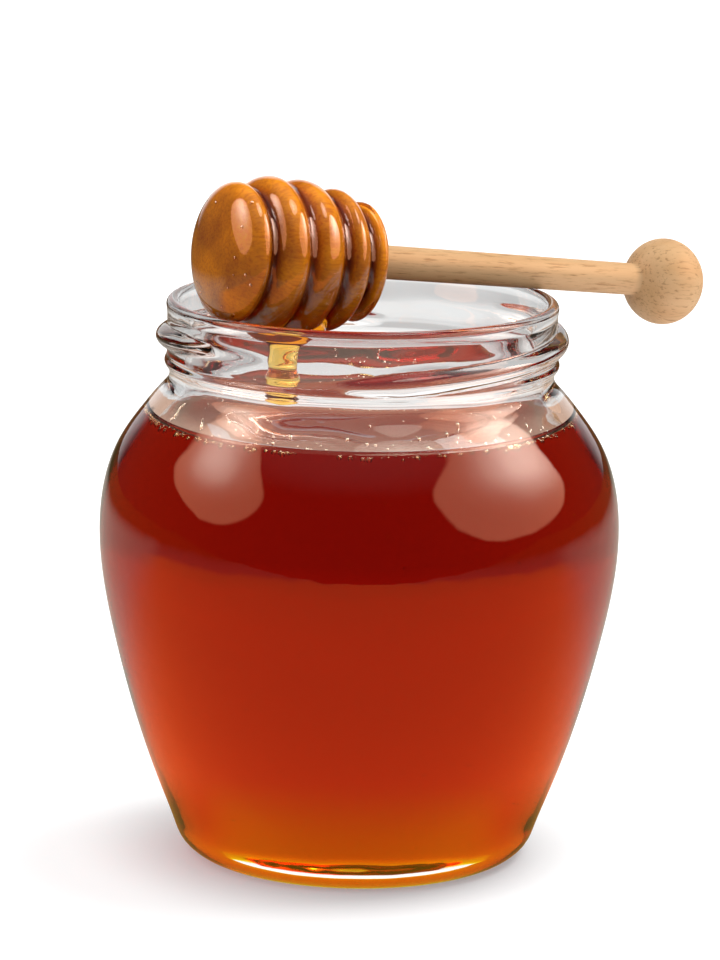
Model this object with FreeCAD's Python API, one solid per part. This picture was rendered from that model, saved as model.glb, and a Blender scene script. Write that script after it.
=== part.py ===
"""Honey jar: a pot-bellied glass jar with a two-start screw finish, filled with honey to the shoulder.
A turned wooden honey dipper lies across the mouth, its head coated in honey that hangs in a drop.

Millimetres. The origin is on the jar's axis, on the plane it stands on. +Z is up, +Y points to the back.
Every dimension that drives the shape is named here, and each fit is a named clearance.
"""

import math
import os

import FreeCAD
import Part

V = FreeCAD.Vector
UP = V(0, 0, 1)

# ---- glass jar: body
body_h = 75.0            # standing plane to the narrowest part of the neck
belly_r = 40.2           # widest outer radius
belly_at = 0.695         # height of the belly, as a share of body_h
heel_r = 28.4            # outer radius just above the rounded heel
foot_r = 23.4            # outer edge of the flat ring it stands on
foot_w = 3.0             # width of that ring
neck_r = 29.6            # outer radius of the neck under the finish
wall = 2.4               # glass thickness of body and neck
push_up = 1.4            # how far the middle of the underside is raised
floor_z = 3.3            # top of the glass floor at the axis

# ---- glass jar: finish
finish_h = 12.0          # narrowest part of the neck to the top of the rim
rim_t = 2.0              # thickness of the rim, fully rounded
rim_out = 0.55           # how far the rim stands out past the neck
finish_out = 0.4         # how far the threaded wall stands out past the neck
bead_out = 0.9           # how far the collar bead stands out past the neck
bead_up = 2.3            # height of the bead's middle over the neck
bead_half = 1.4          # half its height
thread_h = 1.75          # how far a thread stands out of the wall
thread_half = 1.75       # half a thread's width at the wall
thread_sweep = 140.0     # degrees that one thread covers
thread_rise = 3.6        # how far it climbs over that sweep
thread_up = 3.6          # height of its lower end over the neck
thread_start = -97.0     # where the first thread starts, the second is opposite
thread_fade = 18.0       # degrees over which each end runs out

# ---- honey in the jar
fill_down = 6.4          # honey level below the neck
fill_gap = 0.05          # clearance between honey and glass

# ---- dipper
head_len = 26.8          # length of the grooved head
head_r = 11.2            # largest radius of the wooden rings
groove_depth = 2.6       # how deep the grooves are cut below the rings
groove_w = 1.3           # width of a groove's floor
ring_share = [0.212, 0.442, 0.687, 0.884, 1.0]     # where each ring ends, as a share of head_len
ring_size = [0.895, 1.0, 0.98, 0.885, 0.72]       # ring radii, as shares of head_r
handle_r0 = 2.6          # handle radius at the head
handle_r1 = 2.5          # handle radius at the knob
knob_r = 6.8             # knob radius across the handle
knob_half = 6.2          # half the knob's length along the handle
knob_at = 68.3           # middle of the head to middle of the knob
dipper_yaw = 30.0        # how far the handle is turned towards the back
head_in = 12.2           # middle of the head from the rim's inner edge, in plan
head_bearing = 44.9      # which way it lies from the jar's axis: from -X towards the front
rest_gap = 0.04          # clearance where head and handle lie on the rim

# ---- honey on the dipper
coat_t = 0.5             # honey over the rings
coat_low = 0.45          # extra honey that has run to the underside
coat_fill = 0.72         # share of a groove's depth that honey fills
drop_r = 2.1             # radius of the hanging drop's neck
drop_tip_r = 2.5         # radius of its tip
drop_len = 9.4           # how far it hangs below the head
drop_back = 0.6          # how far it hangs from the head's middle towards the round end
funnel_r = 6.0           # radius where it leaves the head


def spline(points):
    """Smooth curve through the points."""
    curve = Part.BSplineCurve()
    curve.interpolate(points)
    return curve


def line(a, b):
    return Part.LineSegment(a, b).toShape()


def arc(a, b, c):
    return Part.Arc(a, b, c).toShape()


def rz(r, z):
    return V(r, 0, z)


def turned(edges, base=V(0, 0, 0), axis=UP):
    """Solid of revolution from a closed outline in the XZ plane."""
    face = Part.Face(Part.Wire(edges))
    solid = face.revolve(base, axis, 360)
    if solid.ShapeType != "Solid":
        solid = solid.Solids[0]
    if solid.Volume < 0:
        solid.reverse()
    return solid


# ---- the jar's heights and radii over the neck
jar_h = body_h + finish_h
bead_z = body_h + bead_up
thread_z = body_h + thread_up
fill_z = body_h - fill_down
rim_r = neck_r + rim_out
finish_r = neck_r + finish_out
bead_r = neck_r + bead_out

# ---- the jar's outer and inner curves
rim_half = rim_t / 2
rim_mid_r = rim_r - rim_half
rim_mid_z = jar_h - rim_half
belly_z = belly_at * body_h
body_points = [
    rz(foot_r, 0),
    rz(foot_r + 0.23 * (heel_r - foot_r), 0.002 * body_h),
    rz(foot_r + 0.50 * (heel_r - foot_r), 0.011 * body_h),
    rz(foot_r + 0.80 * (heel_r - foot_r), 0.031 * body_h),
    rz(heel_r, 0.062 * body_h),
    rz(heel_r + 0.19 * (belly_r - heel_r), 0.140 * body_h),
    rz(heel_r + 0.49 * (belly_r - heel_r), 0.275 * body_h),
    rz(heel_r + 0.81 * (belly_r - heel_r), 0.464 * body_h),
    rz(belly_r, belly_z),
    rz(neck_r + 0.73 * (belly_r - neck_r), 0.858 * body_h),
    rz(neck_r + 0.39 * (belly_r - neck_r), 0.928 * body_h),
    rz(neck_r + 0.13 * (belly_r - neck_r), 0.972 * body_h),
    rz(neck_r + 0.02 * (belly_r - neck_r), 0.992 * body_h),
    rz(neck_r, body_h),
]
outer_curve = spline(body_points)


def inward(z, depth):
    """Point inside the glass, square to the outer curve at height z."""
    lo, hi = outer_curve.FirstParameter, outer_curve.LastParameter
    for _ in range(50):
        mid = (lo + hi) / 2
        if outer_curve.value(mid).z < z:
            lo = mid
        else:
            hi = mid
    u = (lo + hi) / 2
    p = outer_curve.value(u)
    t = outer_curve.tangent(u)[0]
    return rz(p.x - depth * t.z, p.z + depth * t.x)


def inner_points():
    """The inner wall from the floor up to the shoulder."""
    low = [rz(share * foot_r, floor_z) for share in (0.0, 0.25, 0.5)]
    low.append(rz(0.75 * foot_r, floor_z + 0.06))
    low.append(rz(0.92 * foot_r, floor_z + 0.42))
    low.append(rz(heel_r - wall - 1.7, floor_z + 2.1))
    for share in (0.165, 0.275, 0.464, 0.600, 0.695, 0.790, 0.858, 0.914):
        low.append(inward(share * body_h, wall))
    return low


neck_in = rz(neck_r - wall, body_h + 0.8)
neck_turn = [rz(neck_r - wall + 0.55, body_h - 1.9), rz(neck_r - wall + 0.08, body_h - 0.3)]
jar_inner = spline(inner_points() + neck_turn + [neck_in])
bead_low = rz(neck_r, bead_z - bead_half)
bead_high = rz(finish_r - 0.2, bead_z + bead_half)
finish_low = rz(finish_r, bead_z + bead_half + 0.9)
finish_high = rz(finish_r, rim_mid_z - 0.9)
rim_outer = rz(rim_r, rim_mid_z)
rim_inner = rz(rim_r - rim_t, rim_mid_z)
neck_high = rz(neck_r - wall + 0.2, rim_mid_z - 3.2)
foot_in = rz(foot_r - foot_w, 0)
jar_edges = [
    line(foot_in, rz(foot_r, 0)),
    outer_curve.toShape(),
    line(rz(neck_r, body_h), bead_low),
    arc(bead_low, rz(bead_r, bead_z), bead_high),
    line(bead_high, finish_low),
    line(finish_low, finish_high),
    line(finish_high, rim_outer),
    arc(rim_outer, rz(rim_mid_r, jar_h), rim_inner),
    line(rim_inner, neck_high),
    line(neck_high, neck_in),
    jar_inner.toShape(),
    line(rz(0, floor_z), rz(0, push_up)),
    arc(rz(0, push_up), rz(0.55 * foot_r, 0.72 * push_up), foot_in),
]
glass = turned(jar_edges)


# ---- threads
def thread(start):
    """One thread: rounded sections along a helix, run out to nothing at both ends."""
    wires = []
    count = 19
    for i in range(count):
        share = i / (count - 1)
        turn = share * thread_sweep
        fade = min(1.0, turn / thread_fade, (thread_sweep - turn) / thread_fade)
        stand = finish_r - 0.15 + (thread_h + 0.15) * math.sin(fade * math.pi / 2)
        half = thread_half * (0.45 + 0.55 * fade)
        a = math.radians(start + turn)
        z = thread_z + share * thread_rise
        root = finish_r - 0.8

        def at(r, dz):
            return V(r * math.cos(a), r * math.sin(a), z + dz)

        skin = Part.BSplineCurve()
        skin.interpolate([
            at(root, -half),
            at(root + 0.55 * (stand - root), -0.72 * half),
            at(stand, 0),
            at(root + 0.55 * (stand - root), 0.72 * half),
            at(root, half),
        ])
        wires.append(Part.Wire([skin.toShape(), line(at(root, half), at(root, -half))]))
    return Part.makeLoft(wires, True, False)


for start in (thread_start, thread_start + 180):
    glass = glass.fuse(thread(start))
glass = glass.Solids[0]

# ---- honey: the inside of the jar up to the level, a clearance away from the glass
def moved_in(curve, gap, count):
    """Points of a curve in the XZ plane, moved square to it by gap."""
    points = []
    for i in range(count + 1):
        u = curve.FirstParameter + (curve.LastParameter - curve.FirstParameter) * i / count
        p = curve.value(u)
        t = curve.tangent(u)[0]
        points.append(rz(max(0.0, p.x - gap * t.z), p.z + gap * t.x))
    return points


honey_points = moved_in(jar_inner, fill_gap, 60)
honey_points[0] = rz(0, honey_points[0].z)
honey_curve = spline(honey_points)
honey = turned([
    honey_curve.toShape(),
    line(honey_points[-1], rz(0, honey_points[-1].z)),
    line(rz(0, honey_points[-1].z), honey_points[0]),
])
keep = Part.makeCylinder(2 * belly_r, fill_z)
honey = honey.common(keep).Solids[0]


# ---- dipper outline, along its own axis from the head's round end
def outline(coat):
    """(s, r) points of the head, as wood or as the honey over it."""
    points = []
    ends = [0.0] + [share * head_len for share in ring_share]
    for i in range(5):
        r = head_r * ring_size[i] + coat
        a, b = ends[i], ends[i + 1]
        depth = groove_depth if coat == 0 else groove_depth * (1 - coat_fill) + 0.35 * coat
        floor0 = head_r * min(ring_size[i], ring_size[max(i - 1, 0)]) + coat - depth
        floor1 = head_r * min(ring_size[i], ring_size[min(i + 1, 4)]) + coat - depth
        g = groove_w / 2
        if i == 0:
            for k in range(9):
                t = math.radians(90.0 * k / 8)
                points.append((0.66 * b * (1 - math.cos(t)) - coat * math.cos(t), r * math.sin(t)))
            points.append((b - 2.2 * g, r - 0.22 * depth))
            points.append((b - g, floor1))
        else:
            last = handle_r0 + 1.6 if i == 4 else floor1
            width = b - a - (g if i < 4 else 0)
            points.append((a + g, floor0))
            points.append((a + g + 0.16 * width, r - 0.30 * (r - floor0)))
            points.append((a + 0.52 * (b - a), r))
            points.append((b - (g if i < 4 else 0) - 0.16 * width, r - 0.30 * (r - last)))
            points.append((b - (g if i < 4 else -coat), last))
    return points


def outline_edges(points):
    """Straight groove floors, curved rings."""
    edges = []
    cut = 11
    rings = [points[:cut]] + [points[cut + 5 * k:cut + 5 * k + 5] for k in range(4)]
    previous = None
    for ring in rings:
        pts = [rz(r, s) for s, r in ring]
        if previous is not None:
            edges.append(line(previous, pts[0]))
        edges.append(spline(pts).toShape())
        previous = pts[-1]
    return edges, previous


# ---- where the dipper lies: both ends just touch the rim
def rim_gap(points, mid, along, first, last):
    """Smallest distance from the rim to an outline turned about a line."""
    best = 1e9
    for k in range(first, last, 2):
        a = math.radians(k)
        q = V(rim_mid_r * math.cos(a), rim_mid_r * math.sin(a), rim_mid_z) - mid
        s = q.dot(along)
        rho = (q - along * s).Length
        for s1, r1 in points:
            d = math.hypot(s - s1, rho - r1)
            if rho < r1 and abs(s - s1) < 0.4:
                d = -d
            if d < best:
                best = d
    return best - rim_half


def dense(points, low):
    """Outline points from the head's middle, filled in between, moved out by low."""
    out = []
    for (s0, r0), (s1, r1) in zip(points[:-1], points[1:]):
        n = max(1, int(abs(s1 - s0) / 0.35))
        for k in range(n):
            t = k / n
            out.append((s0 + t * (s1 - s0) - head_len / 2, r0 + t * (r1 - r0) + low))
    return out


coat_points = outline(coat_t)
head_dense = dense(coat_points, coat_low)
handle_dense = [(18.0 + 0.4 * k, handle_r0) for k in range(100)]
yaw = math.radians(dipper_yaw)


def direction(pitch):
    return V(math.cos(pitch) * math.cos(yaw), math.cos(pitch) * math.sin(yaw), -math.sin(pitch))


head_off = rim_r - rim_t - head_in
head_x = -head_off * math.cos(math.radians(head_bearing))
head_y = -head_off * math.sin(math.radians(head_bearing))


def head_height(pitch):
    """Height of the head's middle at which the head just lies on the rim."""
    lo, hi = rim_mid_z + 2.0, rim_mid_z + head_r + 6.0
    for _ in range(16):
        mid = (lo + hi) / 2
        if rim_gap(head_dense, V(head_x, head_y, mid), direction(pitch), 180, 270) > rest_gap:
            hi = mid
        else:
            lo = mid
    return hi


lo, hi = math.radians(-5), math.radians(25)
for _ in range(14):
    pitch = (lo + hi) / 2
    height = head_height(pitch)
    if rim_gap(handle_dense, V(head_x, head_y, height), direction(pitch), -20, 100) > rest_gap:
        lo = pitch
    else:
        hi = pitch
pitch = lo
along = direction(pitch)
mid = V(head_x, head_y, head_height(pitch))
place = FreeCAD.Placement(mid - along * (head_len / 2), FreeCAD.Rotation(UP, along))

# ---- dipper
edges, head_end = outline_edges(outline(0))
shaft = knob_at + head_len / 2
knob_from = math.asin(handle_r1 / knob_r)
knob = []
for k in range(13):
    t = knob_from + (math.pi - knob_from) * k / 12
    knob.append(rz(max(0.0, knob_r * math.sin(t)), shaft - knob_half * math.cos(t)))
dipper = turned(edges + [
    line(head_end, rz(handle_r0, head_end.z + 0.5)),
    line(rz(handle_r0, head_end.z + 0.5), knob[0]),
    spline(knob).toShape(),
    line(knob[-1], rz(0, 0)),
])
dipper.Placement = place.multiply(dipper.Placement)

# ---- honey on the dipper: a skin over the head, thicker below, and a hanging drop
edges, coat_end = outline_edges(coat_points)
first = rz(0, coat_points[0][0])
skin = turned(edges + [line(coat_end, rz(0, coat_end.z)), line(rz(0, coat_end.z), first)])
skin.Placement = place.multiply(skin.Placement)
sag = skin.copy()
sag.translate(V(0, 0, -coat_low))
under = mid - UP * (head_r + coat_t)
hang_x = mid.x - drop_back * math.cos(yaw)
hang_y = mid.y - drop_back * math.sin(yaw)
top = mid.z - 0.55 * head_r
low = under.z - coat_low
drop = turned([
    line(rz(0, top), rz(funnel_r + 1.2, top)),
    spline([
        rz(funnel_r + 1.2, top),
        rz(funnel_r, low + 0.6),
        rz(0.62 * funnel_r, low - 0.16 * drop_len),
        rz(drop_r + 0.25, low - 0.42 * drop_len),
        rz(drop_r, low - 0.60 * drop_len),
        rz(drop_tip_r, low - drop_len + drop_tip_r),
        rz(0.72 * drop_tip_r, low - drop_len + 0.32 * drop_tip_r),
        rz(0, low - drop_len),
    ]).toShape(),
    line(rz(0, low - drop_len), rz(0, top)),
])
drop.translate(V(hang_x, hang_y, 0))
coat = skin.fuse(sag).fuse(drop).cut(dipper)
coat = max(coat.Solids, key=lambda s: s.Volume)

print("pitch %.2f deg, head middle z %.2f" % (math.degrees(pitch), mid.z))
nodes = {"glass_jar": glass, "honey": honey, "dipper": dipper, "honey_coat": coat}
os.makedirs("parts", exist_ok=True)
for name, solid in nodes.items():
    box = solid.BoundBox
    print("%-11s %-9s valid %s volume %9.1f box %.2f %.2f %.2f to %.2f %.2f %.2f" % (
        name, solid.ShapeType, solid.isValid(), solid.Volume,
        box.XMin, box.YMin, box.ZMin, box.XMax, box.YMax, box.ZMax))
    solid.exportStep("parts/%s.step" % name)
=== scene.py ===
# %% [markdown]
# # A jar of honey with a dipper across its mouth
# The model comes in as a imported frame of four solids: the glass jar, the honey in it, a turned wooden
# dipper, and the honey that clings to the dipper's head. This notebook gives each of them its real
# surface: a smooth lathe of glass with rolled threads, a see-through honey with its meniscus and bubbles,
# beech with its flecks, and a wet honey coat with a hanging drop.

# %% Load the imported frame
import math

import bpy
import numpy as np
from mathutils import Matrix, Vector


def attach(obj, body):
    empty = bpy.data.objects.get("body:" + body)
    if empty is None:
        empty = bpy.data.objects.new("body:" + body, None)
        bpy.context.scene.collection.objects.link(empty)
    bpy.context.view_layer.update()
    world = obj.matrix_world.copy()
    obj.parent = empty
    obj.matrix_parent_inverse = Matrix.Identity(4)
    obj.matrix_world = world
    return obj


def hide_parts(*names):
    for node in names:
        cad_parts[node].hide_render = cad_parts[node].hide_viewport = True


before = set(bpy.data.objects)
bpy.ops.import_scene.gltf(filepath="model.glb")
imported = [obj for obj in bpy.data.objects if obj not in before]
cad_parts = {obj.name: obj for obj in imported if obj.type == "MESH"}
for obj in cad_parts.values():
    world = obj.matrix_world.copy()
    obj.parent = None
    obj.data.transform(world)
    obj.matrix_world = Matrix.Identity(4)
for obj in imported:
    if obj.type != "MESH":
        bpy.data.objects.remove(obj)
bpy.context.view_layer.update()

MM = 0.001
AXIS = 1e-4             # a profile stops this far from its axis, in mm, and a pole closes it
print("nodes:", sorted(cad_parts))

# %% [markdown]
# ## Helpers for surfaces
# Every new piece is a grid of points: one parameter runs along a profile, the other goes round. The grid
# is turned into a mesh in one go. Ends that meet the axis are closed with a single pole point, so no seam
# or hole is left. The signed volume says which way the faces look, and they are flipped if it is negative.


# %% A smooth curve through a few points
def smooth_curve(points, count):
    """Natural cubic spline through the points.

    The parameter is the distance between points added up. In each span the curve is the cubic whose second
    derivative runs straight from one knot to the next, and is zero at both ends.
    """
    p = np.asarray(points, float)
    t = np.r_[0.0, np.cumsum(np.linalg.norm(np.diff(p, axis=0), axis=1))]
    h = np.diff(t)
    n = len(p)
    a = np.eye(n)
    b = np.zeros_like(p)
    i = np.arange(1, n - 1)
    a[i, i - 1] = h[:-1]
    a[i, i] = 2 * (h[:-1] + h[1:])
    a[i, i + 1] = h[1:]
    b[1:-1] = 6 * (np.diff(p, axis=0)[1:] / h[1:, None] - np.diff(p, axis=0)[:-1] / h[:-1, None])
    m = np.linalg.solve(a, b)
    u = np.linspace(0, t[-1], count)
    k = np.clip(np.searchsorted(t, u, side="right") - 1, 0, n - 2)
    x0 = (t[k + 1] - u)[:, None]
    x1 = (u - t[k])[:, None]
    hk = h[k][:, None]
    return (m[k] * x0 ** 3 + m[k + 1] * x1 ** 3) / (6 * hk) \
        + (p[k] / hk - m[k] * hk / 6) * x0 + (p[k + 1] / hk - m[k + 1] * hk / 6) * x1


# %% A grid of points becomes a mesh
def make_object(name, vertices, faces, smooth=True):
    """Mesh object from an (n, 3) array in metres and a list of face arrays, each (m, 3) or (m, 4)."""
    mesh = bpy.data.meshes.new(name)
    loops = np.concatenate([f.ravel() for f in faces]).astype(np.int32)
    sizes = np.concatenate([np.full(len(f), f.shape[1]) for f in faces]).astype(np.int32)
    starts = np.r_[0, np.cumsum(sizes)[:-1]].astype(np.int32)
    mesh.vertices.add(len(vertices))
    mesh.vertices.foreach_set("co", np.asarray(vertices, np.float32).ravel())
    mesh.loops.add(len(loops))
    mesh.loops.foreach_set("vertex_index", loops)
    mesh.polygons.add(len(sizes))
    mesh.polygons.foreach_set("loop_start", starts)
    mesh.polygons.foreach_set("loop_total", sizes)
    mesh.polygons.foreach_set("use_smooth", np.full(len(sizes), smooth))
    mesh.update()
    mesh.validate()
    piece = bpy.data.objects.new(name, mesh)
    bpy.context.scene.collection.objects.link(piece)
    return piece


def closed_grid(grid):
    """Vertices and faces of a tube-like grid (rows, around, 3) whose first and last row are closed by poles.

    A row's pole is the mean of its points. Quads join row i to row i + 1, and wrap round.
    """
    rows, around, _ = grid.shape
    vertices = np.concatenate([grid.reshape(-1, 3), grid[:1].mean(1), grid[-1:].mean(1)])
    i = np.arange(rows - 1)[:, None]
    j = np.arange(around)[None, :]
    k = (j + 1) % around
    quads = np.stack([i * around + j, i * around + k, (i + 1) * around + k, (i + 1) * around + j], -1)
    quads = quads.reshape(-1, 4)
    j = j.ravel()
    k = k.ravel()
    last_row = (rows - 1) * around
    first = np.stack([np.full(around, rows * around), k, j], -1)
    last = np.stack([np.full(around, rows * around + 1), last_row + j, last_row + k], -1)
    a, b, c, d = (vertices[quads[:, n]] for n in range(4))
    volume = (np.cross(a, b) * c).sum() + (np.cross(a, c) * d).sum()
    faces = [quads, first, last]
    if volume < 0:
        faces = [f[:, ::-1] for f in faces]
    return vertices, faces


def lathe(r, z, around):
    """Grid of a profile turned about Z: (r cos a, r sin a, z), in mm.

    r and z are (rows,), or (rows, around) where they change on the way round.
    """
    a = np.linspace(0, 2 * np.pi, around, endpoint=False)
    r = np.asarray(r, float)
    z = np.asarray(z, float)
    if r.ndim == 1:
        r = r[:, None]
    if z.ndim == 1:
        z = z[:, None]
    r = np.broadcast_to(r, (r.shape[0], around))
    z = np.broadcast_to(z, (r.shape[0], around))
    return np.stack([r * np.cos(a), r * np.sin(a), z], -1)


def report(piece):
    """Print how many triangles a piece has and its box."""
    triangles = sum(len(p.vertices) - 2 for p in piece.data.polygons)
    co = np.empty(len(piece.data.vertices) * 3, np.float32)
    piece.data.vertices.foreach_get("co", co)
    co = co.reshape(-1, 3) / MM
    low, high = co.min(0).round(2), co.max(0).round(2)
    print("%-14s %7d triangles, box %s to %s mm" % (piece.name, triangles, low, high))


def store(piece, name, kind, values):
    """Keep a number ("FLOAT") or a vector ("FLOAT_VECTOR") at every vertex, for a material to read."""
    layer = piece.data.attributes.new(name, kind, "POINT")
    field = "value" if kind == "FLOAT" else "vector"
    layer.data.foreach_set(field, np.asarray(values, np.float32).ravel())


def flat_sheet(name, corners):
    """One flat face through four corners, in metres."""
    return make_object(name, np.array(corners), [np.array([[0, 1, 2, 3]])], False)


# %% [markdown]
# ## The glass jar
# A pressed glass jar is thick at the foot, swells to a pot belly, and draws in over a round shoulder to a
# screw finish: a collar bead, two rolled threads, and a fully rounded rim. It is one closed lathe: the
# outer profile goes from the middle of the raised underside up to the rim, and the inner one comes back
# down to the middle of the floor. The threads are added to the radius as a rounded ridge along a helix.

# %% Jar sizes, in millimetres
BODY_H = 75.0           # table to the narrowest part of the neck
BELLY_R = 40.2
BELLY_Z = 0.695 * BODY_H
HEEL_R = 28.4           # where the side begins to rise
FOOT_R = 23.4           # outer radius of the ring that it stands on
FOOT_W = 3.0
NECK_R = 29.6
WALL = 2.4
PUSH_UP = 1.4           # how far the middle of the underside is raised
FLOOR_Z = 3.3           # top of the glass floor
JAR_H = BODY_H + 12.0
RIM_T = 2.0
RIM_R = NECK_R + 0.55
FINISH_R = NECK_R + 0.4
BEAD_R = NECK_R + 0.9
BEAD_Z = BODY_H + 2.3
FILL_Z = BODY_H - 6.4   # honey level
AROUND = 240            # points on the way round, for the glass and the honey in it

heel = HEEL_R - FOOT_R
swell = BELLY_R - HEEL_R
draw_in = BELLY_R - NECK_R
body_points = np.array([
    (FOOT_R, 0.0),
    (FOOT_R + 0.23 * heel, 0.002 * BODY_H),
    (FOOT_R + 0.50 * heel, 0.011 * BODY_H),
    (FOOT_R + 0.80 * heel, 0.031 * BODY_H),
    (HEEL_R, 0.062 * BODY_H),
    (HEEL_R + 0.19 * swell, 0.140 * BODY_H),
    (HEEL_R + 0.49 * swell, 0.275 * BODY_H),
    (HEEL_R + 0.81 * swell, 0.464 * BODY_H),
    (BELLY_R, BELLY_Z),
    (NECK_R + 0.73 * draw_in, 0.858 * BODY_H),
    (NECK_R + 0.39 * draw_in, 0.928 * BODY_H),
    (NECK_R + 0.13 * draw_in, 0.972 * BODY_H),
    (NECK_R + 0.02 * draw_in, 0.992 * BODY_H),
    (NECK_R, BODY_H),
])
body = smooth_curve(body_points, 110)
print("belly radius reached:", body[:, 0].max().round(2))

# %% The inner wall follows the outer one at the wall's thickness
slope = np.gradient(body, axis=0)
slope /= np.linalg.norm(slope, axis=1)[:, None]
inward = body + WALL * np.stack([-slope[:, 1], slope[:, 0]], -1)
stations = np.array([0.165, 0.275, 0.464, 0.600, 0.695, 0.790, 0.858, 0.914]) * BODY_H
wall_points = np.stack([np.interp(stations, body[:, 1], inward[:, 0]),
                        np.interp(stations, body[:, 1], inward[:, 1])], -1)
floor_points = np.array([
    (0.0, FLOOR_Z), (0.25 * FOOT_R, FLOOR_Z), (0.5 * FOOT_R, FLOOR_Z), (0.75 * FOOT_R, FLOOR_Z + 0.06),
    (0.92 * FOOT_R, FLOOR_Z + 0.42), (HEEL_R - WALL - 1.7, FLOOR_Z + 2.1)])
NECK_IN = NECK_R - WALL
neck_points = np.array([
    (NECK_IN + 0.55, BODY_H - 1.9), (NECK_IN + 0.08, BODY_H - 0.3), (NECK_IN, BODY_H + 0.8)])
inside = smooth_curve(np.concatenate([floor_points, wall_points, neck_points]), 150)
inside[0, 0] = 0.0
print("inner belly radius:", inside[:, 0].max().round(2))

# %% The finish: collar bead and rounded rim
BEAD_HALF = 0.95
rim_mid_r = RIM_R - RIM_T / 2
rim_mid_z = JAR_H - RIM_T / 2
z = np.linspace(BODY_H + 0.15, rim_mid_z, 62)
step = np.clip((z - BEAD_Z) / 1.6, 0, 1)
step = step * step * (3 - 2 * step)
bead = np.exp(-((z - BEAD_Z) / BEAD_HALF) ** 2)
r = NECK_R + (FINISH_R - NECK_R) * step
r = r + (BEAD_R - NECK_R - 0.1) * bead * (1 - 0.35 * step)
r = r + (RIM_R - FINISH_R) * np.clip((z - rim_mid_z + 1.2) / 1.2, 0, 1)
finish = np.stack([r, z], -1)
a = np.linspace(0, np.pi, 21)[1:]
rim = np.stack([rim_mid_r + RIM_T / 2 * np.cos(a), rim_mid_z + RIM_T / 2 * np.sin(a)], -1)
throat = smooth_curve([(RIM_R - RIM_T, rim_mid_z), (RIM_R - RIM_T - 0.18, rim_mid_z - 0.9),
                       (NECK_IN + 0.3, rim_mid_z - 3.0), (NECK_IN + 0.06, BODY_H + 4.5),
                       (NECK_IN, BODY_H + 0.8)], 40)[1:]
print("finish: bead radius %.1f mm, rim %.1f mm at height %.1f mm" % (BEAD_R, RIM_R, JAR_H))

# %% The whole profile, from the middle of the underside to the middle of the floor
a = np.linspace(0, 1, 26)[:-1]
underside = np.stack([(FOOT_R - FOOT_W) * a, PUSH_UP * (1 - a ** 2.6)], -1)
underside[:, 0] = np.maximum(underside[:, 0], AXIS)
foot = np.stack([np.linspace(FOOT_R - FOOT_W, FOOT_R, 7)[:-1], np.zeros(6)], -1)
back_down = inside[::-1][1:]
back_down[:, 0] = np.maximum(back_down[:, 0], AXIS)
profile = np.concatenate([underside, foot, body, finish[1:], rim, throat, back_down])
outer_rows = len(underside) + len(foot) + len(body) + len(finish) - 1
print("profile rows:", len(profile))

# %% The threads: a rounded ridge along a helix
THREAD_H = 1.75         # height over the wall
THREAD_HALF = 1.75      # half its width
THREAD_SWEEP = 140.0    # degrees from end to end
THREAD_RISE = 3.6
THREAD_Z = BODY_H + 3.6
THREAD_START = -97.0    # where the first one starts, in degrees from +X. The second is opposite
THREAD_FADE = 18.0      # degrees over which an end runs out


def thread_ridge(z, angle):
    """Height of the threads over the wall.

    turn is the angle past a thread's start. Its middle climbs in a straight line with turn. The ridge is
    (1 - d^2)^0.8 across, with d the distance from the middle over the half width, and both ends run out
    as a quarter sine.
    """
    ridge = np.zeros(np.broadcast_shapes(z.shape, angle.shape))
    for start in (THREAD_START, THREAD_START + 180):
        turn = (angle - start) % 360
        fade = np.clip(np.minimum(turn, THREAD_SWEEP - turn) / THREAD_FADE, 0, 1)
        middle = THREAD_Z + turn / THREAD_SWEEP * THREAD_RISE
        half = THREAD_HALF * (0.45 + 0.55 * fade)
        d = np.clip(np.abs(z - middle) / half, 0, 1)
        ridge = np.maximum(ridge, THREAD_H * np.sin(fade * np.pi / 2) * (1 - d ** 2) ** 0.8)
    return ridge


angle = np.degrees(np.linspace(0, 2 * np.pi, AROUND, endpoint=False))[None, :]
R = np.repeat(profile[:, :1], AROUND, 1)
Z = np.repeat(profile[:, 1:], AROUND, 1)
ridge = thread_ridge(Z, angle)
rows = np.arange(len(profile))[:, None]
on_finish = (rows > outer_rows - len(finish)) & (rows < outer_rows)
R = R + ridge * on_finish
print("threads stand out by up to %.2f mm" % ridge.max())

# %% Slow waves that the mould leaves in the inner wall of the neck
# Three sines of the angle and the height, added up. They fade in under the honey's level and out at the rim.
WAVE_H = 0.07
WAVES_FROM = BODY_H - 9.0
rad = np.radians(angle)
inner_side = rows > outer_rows + len(rim)
in_neck = np.clip((Z - WAVES_FROM) / 4, 0, 1) * np.clip((rim_mid_z - 1 - Z) / 3, 0, 1) * inner_side
waves = np.sin(5 * rad + 0.35 * Z) + 0.6 * np.sin(11 * rad - 0.55 * Z + 1.3) + 0.4 * np.sin(2 * rad + 1.4 * Z)
R = R + WAVE_H * waves * in_neck

# %% The jar, and which of its faces are wetted by the honey
vertices, faces = closed_grid(lathe(R, Z, AROUND))
jar = make_object("jar", vertices * MM, faces)
quad_row = np.repeat(np.arange(len(profile) - 1), AROUND)
wet_row = (quad_row > outer_rows + len(rim)) & (profile[quad_row, 1] < FILL_Z)
wet_face = np.r_[wet_row, np.zeros(AROUND, bool), np.ones(AROUND, bool)].astype(np.int32)
report(jar)

# %% [markdown]
# ## The honey in the jar
# The honey fills the jar up to the shoulder. It could be cut from the jar's inside by a boolean, but a lathe
# on the same inner profile is cleaner: it meets the glass everywhere. It reaches a hair into the wall, so no
# air gap shows. At the wall it climbs a little, as a thick liquid does, and its top is otherwise level.

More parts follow.
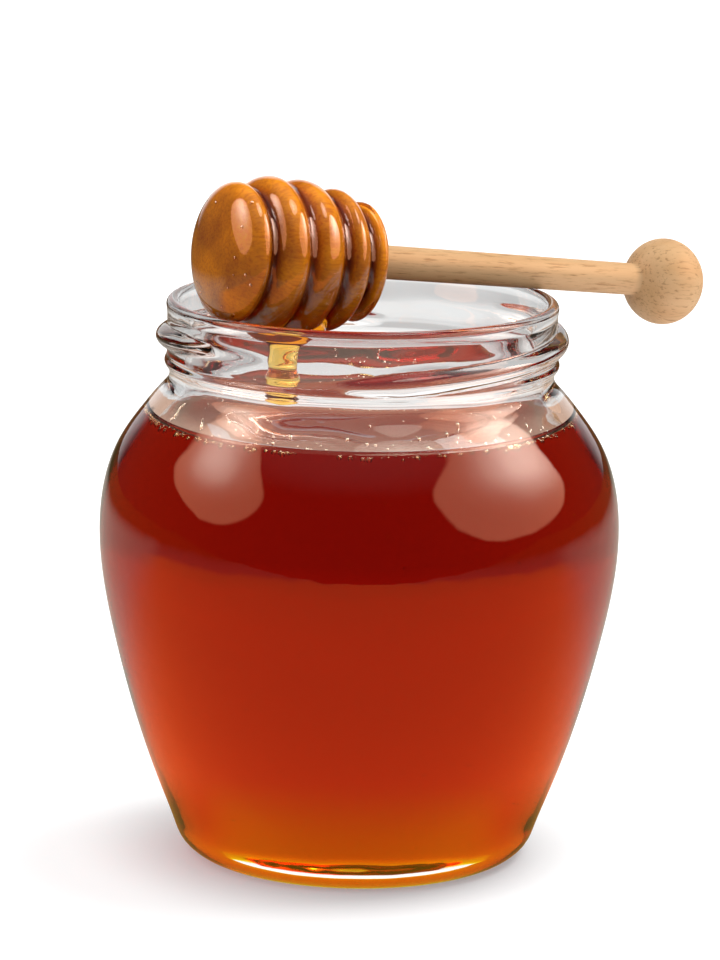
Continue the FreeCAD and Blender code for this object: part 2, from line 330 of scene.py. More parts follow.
# %% Honey fill
REACH = 0.08            # how far it goes into the wall
MENISCUS = 0.8          # how far it climbs at the wall
MENISCUS_W = 0.75       # how fast that falls off towards the middle
grow = np.gradient(inside, axis=0)
grow /= np.linalg.norm(grow, axis=1)[:, None]
wet = inside - REACH * np.stack([-grow[:, 1], grow[:, 0]], -1)
wet[0] = (AXIS, FLOOR_Z - REACH)
wet = wet[wet[:, 1] < FILL_Z + MENISCUS]
edge_r = wet[-1, 0]
s = np.linspace(0, 1, 60)[1:]
top_r = edge_r * (1 - s)
top_z = FILL_Z + (wet[-1, 1] - FILL_Z) * np.exp(-(edge_r - top_r) / MENISCUS_W)
top = np.stack([np.maximum(top_r, AXIS), top_z], -1)
fill_profile = np.concatenate([wet, top])
vertices, faces = closed_grid(lathe(fill_profile[:, 0], fill_profile[:, 1], AROUND))
honey_fill = make_object("honey_fill", vertices * MM, faces)

# 1 on the surface that is open to the air, 0 on the glass
free_row = np.arange(len(fill_profile)) >= len(wet) - 1
store(honey_fill, "free_surface", "FLOAT", np.r_[np.repeat(free_row, AROUND), 0.0, 1.0])
report(honey_fill)

# %% [markdown]
# ## The dipper
# A honey dipper is turned from one piece of beech: a rounded end, four rings with grooves between them, a
# slender handle and a knob. Stacked ellipsoids could give the rings, but a lathe about its own axis is how
# the real one is made. It is laid across the mouth: the handle on the rim at the back right, the head on the
# rim at the front left.

# %% The dipper's own axis
YAW = math.radians(30.0)                        # about the vertical, from +X
PITCH = math.radians(7.26)                      # down towards the knob
HEAD_MID = np.array([-11.3, -11.26, 95.30])     # the head's middle, in mm
HEAD_LEN = 26.8
HEAD_R = 11.2
along = np.array([math.cos(PITCH) * math.cos(YAW), math.cos(PITCH) * math.sin(YAW), -math.sin(PITCH)])
side = np.array([-math.sin(YAW), math.cos(YAW), 0.0])
lift = np.cross(along, side)
head_end = HEAD_MID - along * HEAD_LEN / 2
print("dipper points along", along.round(3))


def laid(grid):
    """From the dipper's own frame (x, y across, z along) to where it lies."""
    return head_end + grid[..., :1] * side + grid[..., 1:2] * lift + grid[..., 2:] * along


# %% The head's outline, as wood or as the honey over it
RING_END = np.array([0.0, 0.212, 0.442, 0.687, 0.884, 1.0]) * HEAD_LEN
RING_SIZE = np.array([0.895, 1.0, 0.98, 0.885, 0.72]) * HEAD_R
DOME = 0.66 * RING_END[1]           # length of the rounded end
GROOVE = 2.6                        # depth of a groove
GROOVE_W = 1.3
HANDLE_R0 = 2.6                     # at the head
HANDLE_R1 = 2.5                     # at the knob
KNOB_R = 6.8
KNOB_HALF = 6.2                     # half the knob's length
KNOB_AT = 68.3 + HEAD_LEN / 2       # head's round end to the knob's middle
WOOD_AROUND = 128


def head_outline(coat, fill):
    """(r, s) rows of the head.

    The end is a quarter ellipse. A ring rises from the groove floors beside it to its own radius as a rounded
    bump, 1 - |t|^2.6, with t from -1 to 1 across the ring. Honey adds coat all over, and fills the grooves by
    the share fill.
    """
    depth = GROOVE * (1 - fill)
    floors = np.minimum(RING_SIZE[:-1], RING_SIZE[1:]) + coat - depth
    rows = []
    r0 = RING_SIZE[0] + coat
    t = np.linspace(0, np.pi / 2, 26)
    rows.append(np.stack([r0 * np.sin(t), DOME * (1 - np.cos(t)) - coat * np.cos(t)], -1))
    t = np.linspace(0, 1, 14)[1:]
    to_groove = RING_END[1] - DOME - GROOVE_W / 2
    rows.append(np.stack([r0 - (r0 - floors[0]) * t ** 2.6, DOME + to_groove * t], -1))
    for k in range(1, 5):
        a = RING_END[k] + GROOVE_W / 2
        b = RING_END[k + 1] - (GROOVE_W / 2 if k < 4 else -coat)
        low = floors[k - 1]
        high = floors[k] if k < 4 else HANDLE_R0 + 1.6
        t = np.linspace(-1, 1, 25)
        base = low + (high - low) * (t + 1) / 2
        bump = (RING_SIZE[k] + coat - (low + high) / 2) * (1 - np.abs(t) ** 2.6)
        rows.append(np.stack([base + bump, (a + b) / 2 + (b - a) / 2 * t], -1))
    return np.concatenate(rows)


# %% Wood: head, handle and knob in one profile
wood_head = head_outline(0.0, 0.0)
neck_s = wood_head[-1, 1]
t = np.linspace(0, 1, 50)[1:]
knob_from = math.asin(HANDLE_R1 / KNOB_R)
shaft_end = KNOB_AT - KNOB_HALF * math.cos(knob_from)
shaft = np.stack([HANDLE_R0 + (HANDLE_R1 - HANDLE_R0) * t, neck_s + 0.5 + (shaft_end - neck_s - 0.5) * t], -1)
t = np.linspace(knob_from, np.pi, 44)[1:]
knob = np.stack([KNOB_R * np.sin(t), KNOB_AT - KNOB_HALF * np.cos(t)], -1)
wood_profile = np.concatenate([wood_head, [[HANDLE_R0, neck_s + 0.5]], shaft, knob])
wood_profile[:, 0] = np.maximum(wood_profile[:, 0], AXIS)
own = lathe(wood_profile[:, 0], wood_profile[:, 1], WOOD_AROUND)
vertices, faces = closed_grid(laid(own))
dipper = make_object("dipper_wood", vertices * MM, faces)
own_vertices = closed_grid(own)[0]
store(dipper, "turning", "FLOAT_VECTOR", own_vertices * MM)
report(dipper)

# %% How deep each point lies in a groove: 0 on the rings, 1 on the groove's floor
ring_mid = (RING_END[1:5] + RING_END[2:6]) / 2
ring_top = np.interp(wood_profile[:, 1], np.r_[DOME, ring_mid], RING_SIZE)
grooved = (wood_profile[:, 1] > DOME) & (wood_profile[:, 1] < HEAD_LEN + 0.2)
sunk = np.clip((ring_top - wood_profile[:, 0]) / GROOVE, 0, 1) * grooved
# the beech material paints shade into the grooves by this number
store(dipper, "in_groove", "FLOAT", np.r_[np.repeat(sunk, WOOD_AROUND), 0.0, 0.0])
print("profile points in a groove:", int((sunk > 0.5).sum()))

# %% [markdown]
# ## Honey on the dipper
# Honey wraps the head in a skin that fills two thirds of each groove, runs to the underside and leaves it in
# a short funnel that ends in a drop. A liquid simulation would give this too, but slowly and never twice the
# same. Here the skin and the drop are two closed lathes. Remeshed together they flow into one surface, and a
# few rounds of smoothing give the fillet where the drop leaves the head.

# %% Skin, on the same outline as the wood
COAT = 0.5              # thickness over the rings
COAT_FILL = 0.64        # share of a groove's depth that honey fills
COAT_LOW = 0.45         # how much further down it hangs on the underside
SKIN_AROUND = 160
skin_profile = head_outline(COAT, COAT_FILL)
skin_profile[:, 0] = np.maximum(skin_profile[:, 0], AXIS)
skin = laid(lathe(skin_profile[:, 0], skin_profile[:, 1], SKIN_AROUND))
below = np.clip((HEAD_MID[2] - skin[..., 2]) / HEAD_R, 0, 1)
skin[..., 2] -= COAT_LOW * below
low = HEAD_MID[2] - HEAD_R - COAT - COAT_LOW
print("skin's lowest point %.1f mm" % low)

# %% Funnel and drop, under the head
DROP_LEN = 9.4
DROP_R = 2.1            # at its waist
DROP_TIP_R = 2.5
FUNNEL_R = 6.0          # where it leaves the head
DROP_BACK = 0.6         # how far it hangs from the head's middle towards the round end
DROP_AROUND = 64
tip = low - DROP_LEN
drop_profile = smooth_curve([
    (FUNNEL_R + 0.3, HEAD_MID[2] - 0.55 * HEAD_R),
    (FUNNEL_R, low + 0.6),
    (0.62 * FUNNEL_R, low - 0.16 * DROP_LEN),
    (DROP_R + 0.25, low - 0.42 * DROP_LEN),
    (DROP_R, low - 0.60 * DROP_LEN),
    (DROP_TIP_R, tip + DROP_TIP_R),
    (0.72 * DROP_TIP_R, tip + 0.32 * DROP_TIP_R),
    (AXIS, tip)], 70)
hang = HEAD_MID - DROP_BACK * np.array([math.cos(YAW), math.sin(YAW), 0])
drop = lathe(drop_profile[:, 0], drop_profile[:, 1], DROP_AROUND) + [hang[0], hang[1], 0]
print("drop's tip at height %.1f mm" % tip)

# %% Skin and drop flow together
VOXEL = 0.28            # size of the remesh's cells
skin_vertices, skin_faces = closed_grid(skin)
drop_vertices, drop_faces = closed_grid(drop)
both = np.concatenate([skin_vertices, drop_vertices])
drop_faces = [f + len(skin_vertices) for f in drop_faces]
honey_coat = make_object("clinging_honey", both * MM, skin_faces + drop_faces)
remesh = honey_coat.modifiers.new("flow together", "REMESH")
remesh.mode = "VOXEL"
remesh.voxel_size = VOXEL * MM
remesh.use_smooth_shade = True
relax = honey_coat.modifiers.new("fillet", "SMOOTH")
relax.factor = 0.5
relax.iterations = 6
bpy.context.view_layer.update()
graph = bpy.context.evaluated_depsgraph_get()
flowed = bpy.data.meshes.new_from_object(honey_coat.evaluated_get(graph))
honey_coat.modifiers.clear()
honey_coat.data = flowed
report(honey_coat)

# %% [markdown]
# ## Bubbles
# Fine bubbles gather at the wall just under the surface, a few float on it, specks hang deeper in the honey,
# and some are caught in the honey on the dipper's round end. Each is a small closed sphere of air. A texture
# could hint at them, but only true spheres sparkle. One mesh holds them all: every bubble is the same few
# faces, scaled and moved.

# %% One small sphere, many times
rng = np.random.default_rng(7)


def many_spheres(centres, radii, rows=6, around=8):
    """One mesh of many spheres: centre + radius (sin u cos v, sin u sin v, cos u), closed by poles."""
    u = np.linspace(0, np.pi, rows + 1)[1:-1]
    unit = lathe(np.sin(u), np.cos(u), around)
    ball, faces = closed_grid(unit)
    ball[-2] = (0, 0, 1)
    ball[-1] = (0, 0, -1)
    shift = np.arange(len(centres))[:, None, None] * len(ball)
    vertices = (centres[:, None, :] + radii[:, None, None] * ball[None]).reshape(-1, 3)
    return vertices, [(f[None] + shift).reshape(-1, f.shape[1]) for f in faces]


def wall_r(z):
    """Inner radius of the glass at height z."""
    up = inside[inside[:, 1] > FLOOR_Z + 0.5]
    return np.interp(z, up[:, 1], up[:, 0])


def around_axis(radius, angle, z):
    """Points at these radii, angles and heights."""
    return np.stack([radius * np.cos(angle), radius * np.sin(angle), z], -1)


# %% Bubbles at the wall, in loose clusters just under the surface
RING_COUNT = 520
CLUSTERS = 110
cluster = rng.uniform(0, 2 * np.pi, CLUSTERS)
turn = cluster[rng.integers(0, CLUSTERS, RING_COUNT)] + rng.normal(0, 0.045, RING_COUNT)
ring_r = 0.16 + 0.34 * rng.uniform(0, 1, RING_COUNT) ** 2
height = FILL_Z - 0.1 - ring_r - np.abs(rng.normal(0, 0.22, RING_COUNT))
ring = around_axis(wall_r(height) - ring_r - rng.uniform(0.0, 0.15, RING_COUNT), turn, height)
print("at the wall:", len(ring))

# %% Bubbles afloat on the surface
AFLOAT_COUNT = 150
turn = rng.uniform(0, 2 * np.pi, AFLOAT_COUNT)
afloat_r = rng.uniform(0.12, 0.30, AFLOAT_COUNT)
out = (edge_r - 1.2) * rng.uniform(0.15, 1.0, AFLOAT_COUNT) ** 0.4
afloat = around_axis(out, turn, FILL_Z - 0.1 * afloat_r)
print("afloat:", len(afloat))

# %% Specks all through the honey
SPECK_COUNT = 900
turn = rng.uniform(0, 2 * np.pi, SPECK_COUNT)
speck_r = rng.uniform(0.035, 0.085, SPECK_COUNT)
height = rng.uniform(FLOOR_Z + 3, FILL_Z - 2, SPECK_COUNT)
specks = around_axis(wall_r(height) - rng.uniform(0.3, 5.0, SPECK_COUNT), turn, height)
print("specks:", len(specks))

# %% A few bubbles caught in the skin over the dipper's round end
CAUGHT_COUNT = 26
turn = rng.uniform(0, 2 * np.pi, CAUGHT_COUNT)
out = rng.uniform(0.35, 0.98, CAUGHT_COUNT) ** 0.5
caught_r = rng.uniform(0.14, 0.30, CAUGHT_COUNT)
inward_share = np.sqrt(1 - out ** 2)
height = DOME * (1 - inward_share) - (COAT - 0.2) * inward_share
caught = laid(around_axis((RING_SIZE[0] + COAT - 0.1) * out, turn, height))
centres = np.concatenate([ring, afloat, specks, caught])
radii = np.concatenate([ring_r, afloat_r, speck_r, caught_r])
vertices, faces = many_spheres(centres, radii)
bubbles = make_object("bubbles", vertices * MM, faces)
report(bubbles)

# %% [markdown]
# ## Materials
# Glass and honey are clear bodies: light bends at their surface, and honey also takes up green and blue on
# the way through, so a thin drop is yellow and the full jar is a deep red-brown. Wood is a matt surface
# whose colour comes from its own flecks.


# %% Helpers for materials and their nodes
def new_material(name):
    """New material, with its node tree, its surface shader and its output node."""
    material = bpy.data.materials.new(name)
    material.use_nodes = True
    tree = material.node_tree
    return material, tree, tree.nodes["Principled BSDF"], tree.nodes["Material Output"]


def wear(piece, *materials):
    """Give a piece its materials, in the order that its faces count them."""
    piece.data.materials.clear()
    for material in materials:
        piece.data.materials.append(material)


def add(tree, kind, **settings):
    """New node of a kind, with its settings."""
    node = tree.nodes.new("ShaderNode" + kind)
    for name, value in settings.items():
        setattr(node, name, value)
    return node


def feed(tree, node, values):
    """Set a node's inputs, each to another node's output, to a number or to a colour."""
    for name, value in values.items():
        socket = node.inputs[name]
        if isinstance(value, bpy.types.NodeSocket):
            tree.links.new(value, socket)
        elif socket.type == "RGBA":
            socket.default_value = (*value, 1)
        else:
            socket.default_value = value


# %% Helpers for numbers
def stored(tree, name, output):
    """What the piece carries at its vertices under this name."""
    return add(tree, "Attribute", attribute_name=name).outputs[output]


def parts_of(tree, vector):
    """X, Y and Z of a vector, as outputs."""
    node = add(tree, "SeparateXYZ")
    feed(tree, node, {"Vector": vector})
    return node.outputs


def maths(tree, operation, first, second=None):
    """One step of arithmetic on one or two numbers or outputs."""
    node = add(tree, "Math", operation=operation)
    feed(tree, node, {0: first} if second is None else {0: first, 1: second})
    return node.outputs["Value"]


def rise(tree, value, start, end, low, high, kind="SMOOTHSTEP"):
    """A number that goes from low to high while value goes from start to end, smoothly or "LINEAR"."""
    node = add(tree, "MapRange", interpolation_type=kind)
    feed(tree, node, {"Value": value, "From Min": start, "From Max": end, "To Min": low, "To Max": high})
    return node.outputs["Result"]


def choose(tree, factor, first, second):
    """A number: first where factor is 0, second where it is 1."""
    node = add(tree, "Mix", data_type="FLOAT")
    feed(tree, node, {"Factor": factor, "A": first, "B": second})
    return node.outputs["Result"]


def both_beyond(tree, depths, first, second):
    """1 for light that has bounced more often than two limits say, else 0. A limit is (kind, count)."""
    over = [maths(tree, "GREATER_THAN", depths.outputs[kind], count) for kind, count in (first, second)]
    return maths(tree, "MULTIPLY", *over)


# %% Helpers for colours and patterns
def blend(tree, factor, first, second, kind="MIX"):
    """A colour: first where factor is 0, second where it is 1. "MULTIPLY" multiplies them instead."""
    node = add(tree, "Mix", data_type="RGBA", blend_type=kind)
    feed(tree, node, {"Factor": factor, 6: first, 7: second})
    return node.outputs[2]


def ramp(tree, value, first, last, *between):
    """A colour, blended evenly between the stops of a pattern. A stop is (value, colour)."""
    node = add(tree, "ValToRGB")
    elements = node.color_ramp.elements
    for element, (position, colour) in zip(elements, (first, last)):
        element.position = position
        element.color = (*colour, 1)
    for position, colour in between:
        elements.new(position).color = (*colour, 1)
    feed(tree, node, {"Fac": value})
    return node.outputs["Color"]


def noise(tree, vector, scale, detail, roughness=0.5):
    """Cloudy pattern round 0.5, with its scale per metre."""
    node = add(tree, "TexNoise")
    feed(tree, node, {"Vector": vector, "Scale": scale, "Detail": detail, "Roughness": roughness})
    return node.outputs["Fac"]


def bump(tree, height, strength, distance):
    """Normals of a surface that stands out by a pattern."""
    node = add(tree, "Bump")
    feed(tree, node, {"Height": height, "Strength": strength, "Distance": distance})
    return node.outputs["Normal"]


# %% Helpers for surfaces that shine or let light through
def emission(tree, colour, strength):
    """A surface that gives off light."""
    node = add(tree, "Emission")
    feed(tree, node, {"Color": colour, "Strength": strength})
    return node.outputs["Emission"]


def mix_surfaces(tree, factor, first, second):
    """A surface: first where factor is 0, second where it is 1."""
    node = add(tree, "MixShader")
    feed(tree, node, {"Fac": factor, 1: first, 2: second})
    return node.outputs["Shader"]


def clear_body(name, ior, colour=(1.0, 1.0, 1.0)):
    """Smooth clear body that bends light by its index of refraction."""
    material, tree, shader, output = new_material(name)
    feed(tree, shader, {"Base Color": colour, "Roughness": 0.0, "IOR": ior, "Transmission Weight": 1.0})
    return material, tree, shader, output


# %% Clear glass
# Honey bends light nearly as much as glass does, so on the wall that honey wets light goes straight on.
jar_glass, tree, shader, output = clear_body("jar glass", 1.5, (0.985, 0.995, 0.99))
ripple = noise(tree, add(tree, "TexCoord").outputs["Object"], 90.0, 2.0)
feed(tree, shader, {"Normal": bump(tree, ripple, 0.12, 0.001)})
wet_wall = clear_body("wet wall", 1.0)[0]
wear(jar, jar_glass, wet_wall)
jar.data.polygons.foreach_set("material_index", wet_face)
print("glass on", jar.name)

# %% Honey
HONEY_IOR = 1.49


def honey_material(name, colour, density):
    """A clear body with plain absorption: after t metres, exp(-density (1 - colour) t) is left."""
    material, tree, shader, output = clear_body(name, HONEY_IOR)
    volume = add(tree, "VolumeAbsorption")
    feed(tree, volume, {"Color": colour, "Density": density})
    tree.links.new(volume.outputs["Volume"], output.inputs["Volume"])
    return material, tree, shader


dark_honey, tree, shader = honey_material("dark honey", (0.975, 0.872, 0.0), 600.0)

# light does not bend between honey and glass, only where the honey is open to the air
free = stored(tree, "free_surface", "Fac")
feed(tree, shader, {"IOR": rise(tree, free, 0.0, 1.0, 1.0, HONEY_IOR, "LINEAR")})
wear(honey_fill, dark_honey)

# the skin on the dipper is in the open, so a clear coat strengthens its gleam
wet_honey, tree, shader = honey_material("wet honey", (0.985, 0.830, 0.30), 600.0)
feed(tree, shader, {"Coat Weight": 0.5, "Coat IOR": 1.6, "Coat Roughness": 0.0})
wear(honey_coat, wet_honey)
print("honey on", honey_fill.name, "and", honey_coat.name)

# %% Bubbles of air
# From honey into a bubble light bends the other way, by about 1 / 1.49.
air = clear_body("bubble air", 0.68, (1.0, 0.93, 0.7))[0]
wear(bubbles, air)
print("air on", bubbles.name)

# %% Beech
# Pale flecks lie along the grain. Under honey the wood turns orange, with painted shade that darkens the
# grooves.
beech, tree, shader, output = new_material("beech")
own = stored(tree, "turning", "Vector")
stretch = add(tree, "Mapping")
feed(tree, stretch, {"Vector": own, "Scale": (1.0, 1.0, 0.10)})
along_grain = stretch.outputs["Vector"]
fleck = noise(tree, along_grain, 2400.0, 3.0, 0.6)
tone = noise(tree, along_grain, 260.0, 4.0)
broad = noise(tree, own, 130.0, 3.0)

dry_fleck = ramp(tree, fleck, (0.30, (0.46, 0.25, 0.10)), (0.46, (0.74, 0.465, 0.235)))
dry_tone = ramp(tree, tone, (0.35, (0.90, 0.84, 0.76)), (0.65, (1.0, 1.0, 1.0)))
dry = blend(tree, 1.0, dry_fleck, dry_tone, "MULTIPLY")
wet_fleck = ramp(tree, fleck, (0.30, (0.80, 0.235, 0.002)), (0.56, (1.0, 0.395, 0.003)))
wet_tone = ramp(tree, broad, (0.36, (0.60, 0.48, 0.36)), (0.62, (1.0, 1.0, 1.0)))
soaked = blend(tree, 1.0, wet_fleck, wet_tone, "MULTIPLY")
in_groove = stored(tree, "in_groove", "Fac")
# painted shade: the soaked wood is darker the deeper it lies in a groove
groove_shade = ramp(tree, in_groove, (0.30, (1.0, 1.0, 1.0)), (1.0, (0.24, 0.11, 0.05)))
soaked = blend(tree, 1.0, soaked, groove_shade, "MULTIPLY")

past_head = rise(tree, parts_of(tree, own)["Z"], (HEAD_LEN - 0.2) * MM, (HEAD_LEN + 1.0) * MM, 0.0, 1.0)
feed(tree, shader, {
    "Base Color": blend(tree, past_head, soaked, dry),
    "Roughness": 0.55,
    "Normal": bump(tree, fleck, 0.2, 0.0002)})
wear(dipper, beech)
print("beech on", dipper.name)

# %% [markdown]
# ## Who stands for whom
# Each new piece rides on the one body and hides the plain solid that it stands for.

# %% Tie the pieces to the frame
for piece, node, slot in (
        (jar, "glass_jar", "jar_glass"),
        (honey_fill, "honey", "honey"),
        (dipper, "dipper", "beech"),
        (honey_coat, "honey_coat", "clinging_honey")):
    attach(piece, "root")
    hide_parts(node)
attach(bubbles, "root")

# the key light reaches the wood under the skin, which would be dark otherwise
honey_coat.visible_shadow = False
print("pieces tied:", jar.name, honey_fill.name, dipper.name, honey_coat.name, bubbles.name)

# %% [markdown]
# ## Studio
# The jar stands on a white table before a white background. Clear glass shows itself by what is dark
# around it, so the room in front of the jar is dim. Two soft boxes at its sides give the two soft panes on
# the shoulder, and a small dim one overhead gives a gleam on the top. They show in reflections alone.
#
# A studio is trimmed with cards and flags. Here the light that comes through the jar and the light that
# comes off its surface find their own brightness in the table and the room instead, by the kind of ray.

# %% Floor
floor = flat_sheet("floor", [(-3, -0.27, 0), (3, -0.27, 0), (3, 4, 0), (-3, 4, 0)])
table, tree, shader, output = new_material("white table")
spot = add(tree, "TexCoord").outputs["Object"]
reach_node = add(tree, "VectorMath", operation="LENGTH")
feed(tree, reach_node, {0: spot})
reach = reach_node.outputs["Value"]     # distance from the jar's axis
ahead = parts_of(tree, spot)["Y"]       # how far behind the axis, away from the front
rays = add(tree, "LightPath")

# the table itself; it glows less where the jar stands, a painted shadow round the foot
feed(tree, shader, {
    "Base Color": (0.62, 0.62, 0.62),
    "Roughness": 0.6,
    "Specular IOR Level": 0.1,
    "Emission Color": (1.0, 1.0, 1.0),
    "Emission Strength": rise(tree, reach, 0.022, 0.046, 0.26, 0.62)})

# %% The table as the jar's outer surfaces mirror it
# Painted reflection: glossy rays see the table as a glow of set colours, not as its lit surface. In front it
# is painted orange close by, for the honey's glow. Behind the jar it is grey, and far off nearly black. Right
# under the heel it is painted dark brown, with a painted green-gold patch in front, for light that the glass
# gathers there.


def colour_by(value, start, end, first, second):
    """Smooth blend on the table from first to second, while value goes from start to end."""
    return blend(tree, rise(tree, value, start, end, 0.0, 1.0), first, second)


painted_sheen = colour_by(reach, 0.25, 0.31, (1.65, 0.42, 0.13), (0.24, 0.20, 0.18))
painted_sheen = colour_by(ahead, -0.01, 0.08, painted_sheen, (0.60, 0.54, 0.46))
painted_sheen = colour_by(reach, 0.30, 0.60, painted_sheen, (0.14, 0.08, 0.03))
near = colour_by(ahead, -0.030, -0.012, (0.85, 1.05, 0.06), (0.42, 0.22, 0.05))
painted_sheen = colour_by(reach, 0.033, 0.050, near, painted_sheen)
mirrored = emission(tree, painted_sheen, rise(tree, rays.outputs["Diffuse Depth"], 0.0, 1.0, 1.0, 0.25, "LINEAR"))
print("mirrored table ready")

# %% The table as it shows through the jar
# The table glows white, with painted shade that keeps it dim close behind the jar, and a painted amber pool
# of light under the foot, where light through the honey would fall. What lights the table again after passing
# the whole jar is damped, or it would tint the table's shadow red.
# painted pool of light on the table under the foot
PAINTED_FOOT_GLOW = (1.0, 0.90, 0.05)
# painted shade: dim near the jar, brightening from 0.27 m to 0.80 m behind its axis
white = ramp(
    tree, ahead, (0.27, (0.60, 0.60, 0.60)), (0.80, (0.92, 0.92, 0.92)), (0.40, (0.86, 0.86, 0.86)))
seen = colour_by(reach, (FOOT_R - 3.0) * MM, (FOOT_R + 6.0) * MM, PAINTED_FOOT_GLOW, white)
THROUGH_JAR = (("Diffuse Depth", 0.5), ("Transmission Depth", 2.5))
stray = both_beyond(tree, rays, *THROUGH_JAR)
behind = emission(tree, seen, rise(tree, stray, 0.0, 1.0, 1.0, 0.15, "LINEAR"))
surface = mix_surfaces(tree, rays.outputs["Is Glossy Ray"], shader.outputs["BSDF"], mirrored)
surface = mix_surfaces(tree, rays.outputs["Is Transmission Ray"], surface, behind)
feed(tree, output, {"Surface": surface})
wear(floor, table)
print("table ready")

# %% Soft boxes
BOX_AWAY = 0.7                          # metres from the jar's middle
JAR_MIDDLE = np.array([0, 0, 0.05])


def soft_box(name, azimuth, elevation, roll, half, hot_at, core, edge):
    """A glowing pane that faces the jar and shows in reflections alone.

    azimuth turns from the front to the right, elevation from level to the top, in degrees. half gives its
    half width and height over its distance, and roll turns it in its own plane, in radians.

    With u and v from -1 to 1 across it, q = |u|^2.4 + |v|^2.4 is 1 on its rounded outline, where the glow
    fades out. The colour goes from edge to core by exp(-4 d^2), with d the distance from hot_at.
    """
    azimuth = math.radians(azimuth)
    elevation = math.radians(elevation)
    level = math.cos(elevation)
    towards = np.array([math.sin(azimuth) * level, -math.cos(azimuth) * level, math.sin(elevation)])
    flat_x = np.cross([0, 0, 1], towards)
    flat_x /= np.linalg.norm(flat_x)
    flat_y = np.cross(towards, flat_x)
    x = flat_x * math.cos(roll) + flat_y * math.sin(roll)
    y = flat_y * math.cos(roll) - flat_x * math.sin(roll)
    corner = np.array([(-1, -1), (1, -1), (1, 1), (-1, 1)])
    offset = corner[:, :1] * x * half[0] + corner[:, 1:] * y * half[1]
    pane = flat_sheet(name, BOX_AWAY * (towards + offset) + JAR_MIDDLE)
    store(pane, "across", "FLOAT_VECTOR", np.c_[corner, np.zeros(4)])

    # outline and colour
    glow, tree, shader, output = new_material(name)
    tree.nodes.remove(shader)
    place = parts_of(tree, stored(tree, "across", "Vector"))
    powers = [maths(tree, "POWER", maths(tree, "ABSOLUTE", place[k]), 2.4) for k in (0, 1)]
    inside = rise(tree, maths(tree, "ADD", *powers), 0.8, 1.0, 1.0, 0.0)
    away = [maths(tree, "SUBTRACT", place[k], hot_at[k]) for k in (0, 1)]
    squares = maths(tree, "ADD", *[maths(tree, "MULTIPLY", a, a) for a in away])
    hot = maths(tree, "EXPONENT", maths(tree, "MULTIPLY", squares, -4.0))
    tint = blend(tree, hot, edge, core)

    # it lights no matt surface, and is clear to all rays that no surface has mirrored
    path = add(tree, "LightPath")
    first_sight = rise(tree, path.outputs["Diffuse Depth"], 0.0, 1.0, 1.0, 0.0, "LINEAR")
    mirror_only = rise(tree, path.outputs["Glossy Depth"], 0.0, 1.0, 0.0, 1.0, "LINEAR")
    shown = maths(tree, "MULTIPLY", inside, mirror_only)
    clear = add(tree, "BsdfTransparent").outputs["BSDF"]
    feed(tree, output, {"Surface": mix_surfaces(tree, shown, clear, emission(tree, tint, first_sight))})
    wear(pane, glow)
    pane.visible_camera = False
    pane.visible_diffuse = False
    pane.visible_shadow = False


soft_box("left box", -76, 32, -0.60, (0.54, 0.37), (-0.46, 0.15), (8.5, 6.4, 5.2), (3.0, 1.3, 0.7))
soft_box("right box", 75, 29, 0.06, (0.68, 0.51), (0.51, 0.34), (12.0, 9.0, 7.4), (3.2, 1.4, 0.8))
soft_box("top box", 62, 76, 0.0, (0.26, 0.20), (0.0, 0.0), (6.0, 5.4, 4.8), (3.2, 2.8, 2.4))
print("three soft boxes at %.1f m" % BOX_AWAY)

# %% Key light
key = bpy.data.lights.new("key", "SUN")
key.angle = math.radians(36)
key.energy = 1.9
key_object = bpy.data.objects.new("key", key)
key_object.rotation_euler = (math.radians(-10), math.radians(26), 0)
key_object.visible_glossy = False
bpy.context.scene.collection.objects.link(key_object)
print("key light ready")

# %% The room
# Its brightness depends on the direction, and on what kind of ray looks at it.
world = bpy.data.worlds.new("room")
world.use_nodes = True
tree = world.node_tree
rays = add(tree, "LightPath")
direction = parts_of(tree, add(tree, "TexCoord").outputs["Generated"])

# mirrored on the outside: dim, a little lighter overhead, white at the back
overhead = rise(tree, direction["Z"], 0.60, 0.95, 0.03, 0.25)
mirrored_room = rise(tree, direction["Y"], 0.80, 0.97, overhead, 1.0)

# seen through the jar: white, lighter upwards, and dimmer in front
lit_wall = rise(tree, direction["Z"], 0.0, 0.28, 0.90, 1.18)
at_back = rise(tree, direction["Y"], -0.30, 0.35, 0.0, 1.0)
seen_through = choose(tree, at_back, 0.62, lit_wall)

# light that reaches the table through the whole jar is damped here too
stray = both_beyond(tree, rays, *THROUGH_JAR)
seen_through = choose(tree, stray, seen_through, 0.25)

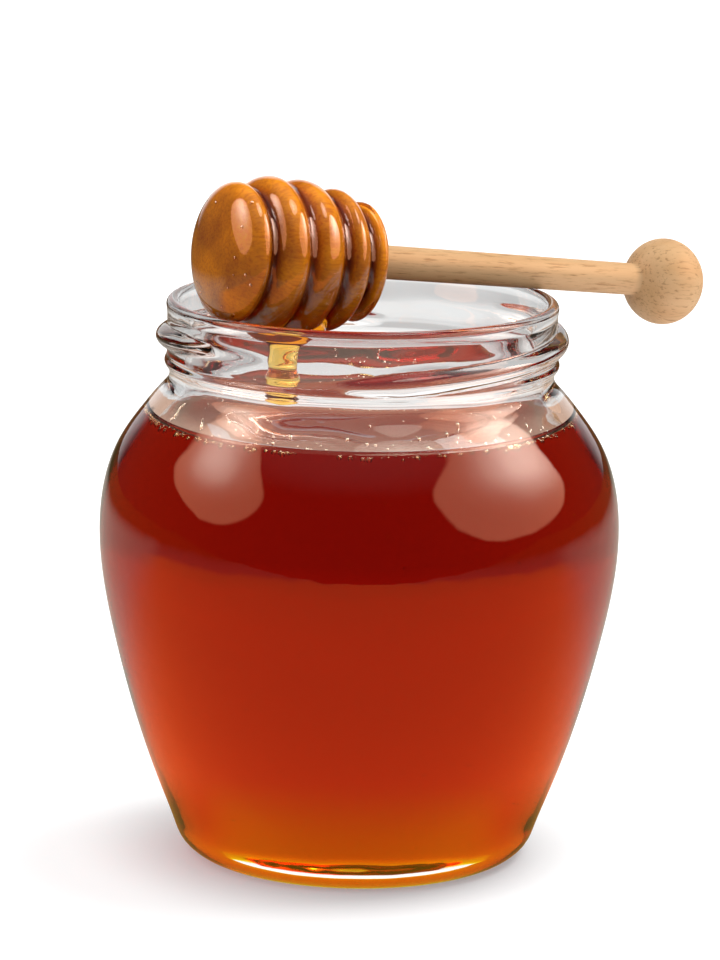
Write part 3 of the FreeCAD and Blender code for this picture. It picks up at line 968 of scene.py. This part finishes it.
# what the honey's top and the glass mirror inside the jar comes back dimmer and warmer
mirrored_inside = both_beyond(tree, rays, ("Glossy Depth", 0.5), ("Transmission Depth", 1.5))
seen_through = choose(tree, mirrored_inside, seen_through, 0.72)
warmth = blend(tree, mirrored_inside, (1.0, 1.0, 1.0), (1.0, 0.66, 0.50))

# a ray straight from the camera sees plain white, and a matt surface sees a softer white
room = choose(tree, rays.outputs["Is Transmission Ray"], mirrored_room, seen_through)
room = choose(tree, rays.outputs["Is Diffuse Ray"], room, 0.72)
room = choose(tree, rays.outputs["Is Camera Ray"], room, 1.0)
feed(tree, tree.nodes["Background"], {"Color": warmth, "Strength": room})
bpy.context.scene.world = world
world.cycles.sampling_method = "NONE"
print("room ready")

# %% [markdown]
# ## Camera
# A long lens looks a little down on the jar. It aims higher than the point that it is placed around, so the
# jar sits low in the picture.

# %% Camera
LENS = 173.1                            # mm, on a sensor 36 mm wide
DISTANCE = 0.7175
PIVOT = Vector((0, 0, 0.0435))          # what the camera is placed around
ELEVATION = math.radians(13.154)        # of the camera over that point
AIM = math.radians(11.98119)            # how far down it looks
ROLL = math.radians(0.95)


def backward(angle):
    """Direction from a point in front of the camera to the camera, which stands at this angle over it."""
    return Vector((0, -math.cos(angle), math.sin(angle)))


place = PIVOT + backward(ELEVATION) * DISTANCE
back = backward(AIM)
level_right = Vector((1, 0, 0))
level_up = back.cross(level_right)
right = level_right * math.cos(ROLL) + level_up * math.sin(ROLL)
up = level_up * math.cos(ROLL) - level_right * math.sin(ROLL)
camera = bpy.data.cameras.new("camera")
camera.lens = LENS
camera.sensor_width = 36.0
camera.clip_start = 0.01
camera_object = bpy.data.objects.new("camera", camera)
camera_object.matrix_world = Matrix.Translation(place) @ Matrix((right, up, back)).transposed().to_4x4()
bpy.context.scene.collection.objects.link(camera_object)
bpy.context.scene.camera = camera_object
bpy.context.scene.view_settings.view_transform = "Standard"
print("camera lens %.1f mm at %s" % (LENS, tuple(round(v, 3) for v in place)))

# %% Light paths long enough for glass around honey around bubbles
cycles = bpy.context.scene.cycles
cycles.max_bounces = 32
cycles.transmission_bounces = 28
cycles.glossy_bounces = 8
cycles.diffuse_bounces = 4
print("bounces:", cycles.max_bounces)

# %% Bring the scene up to date
bpy.context.view_layer.update()
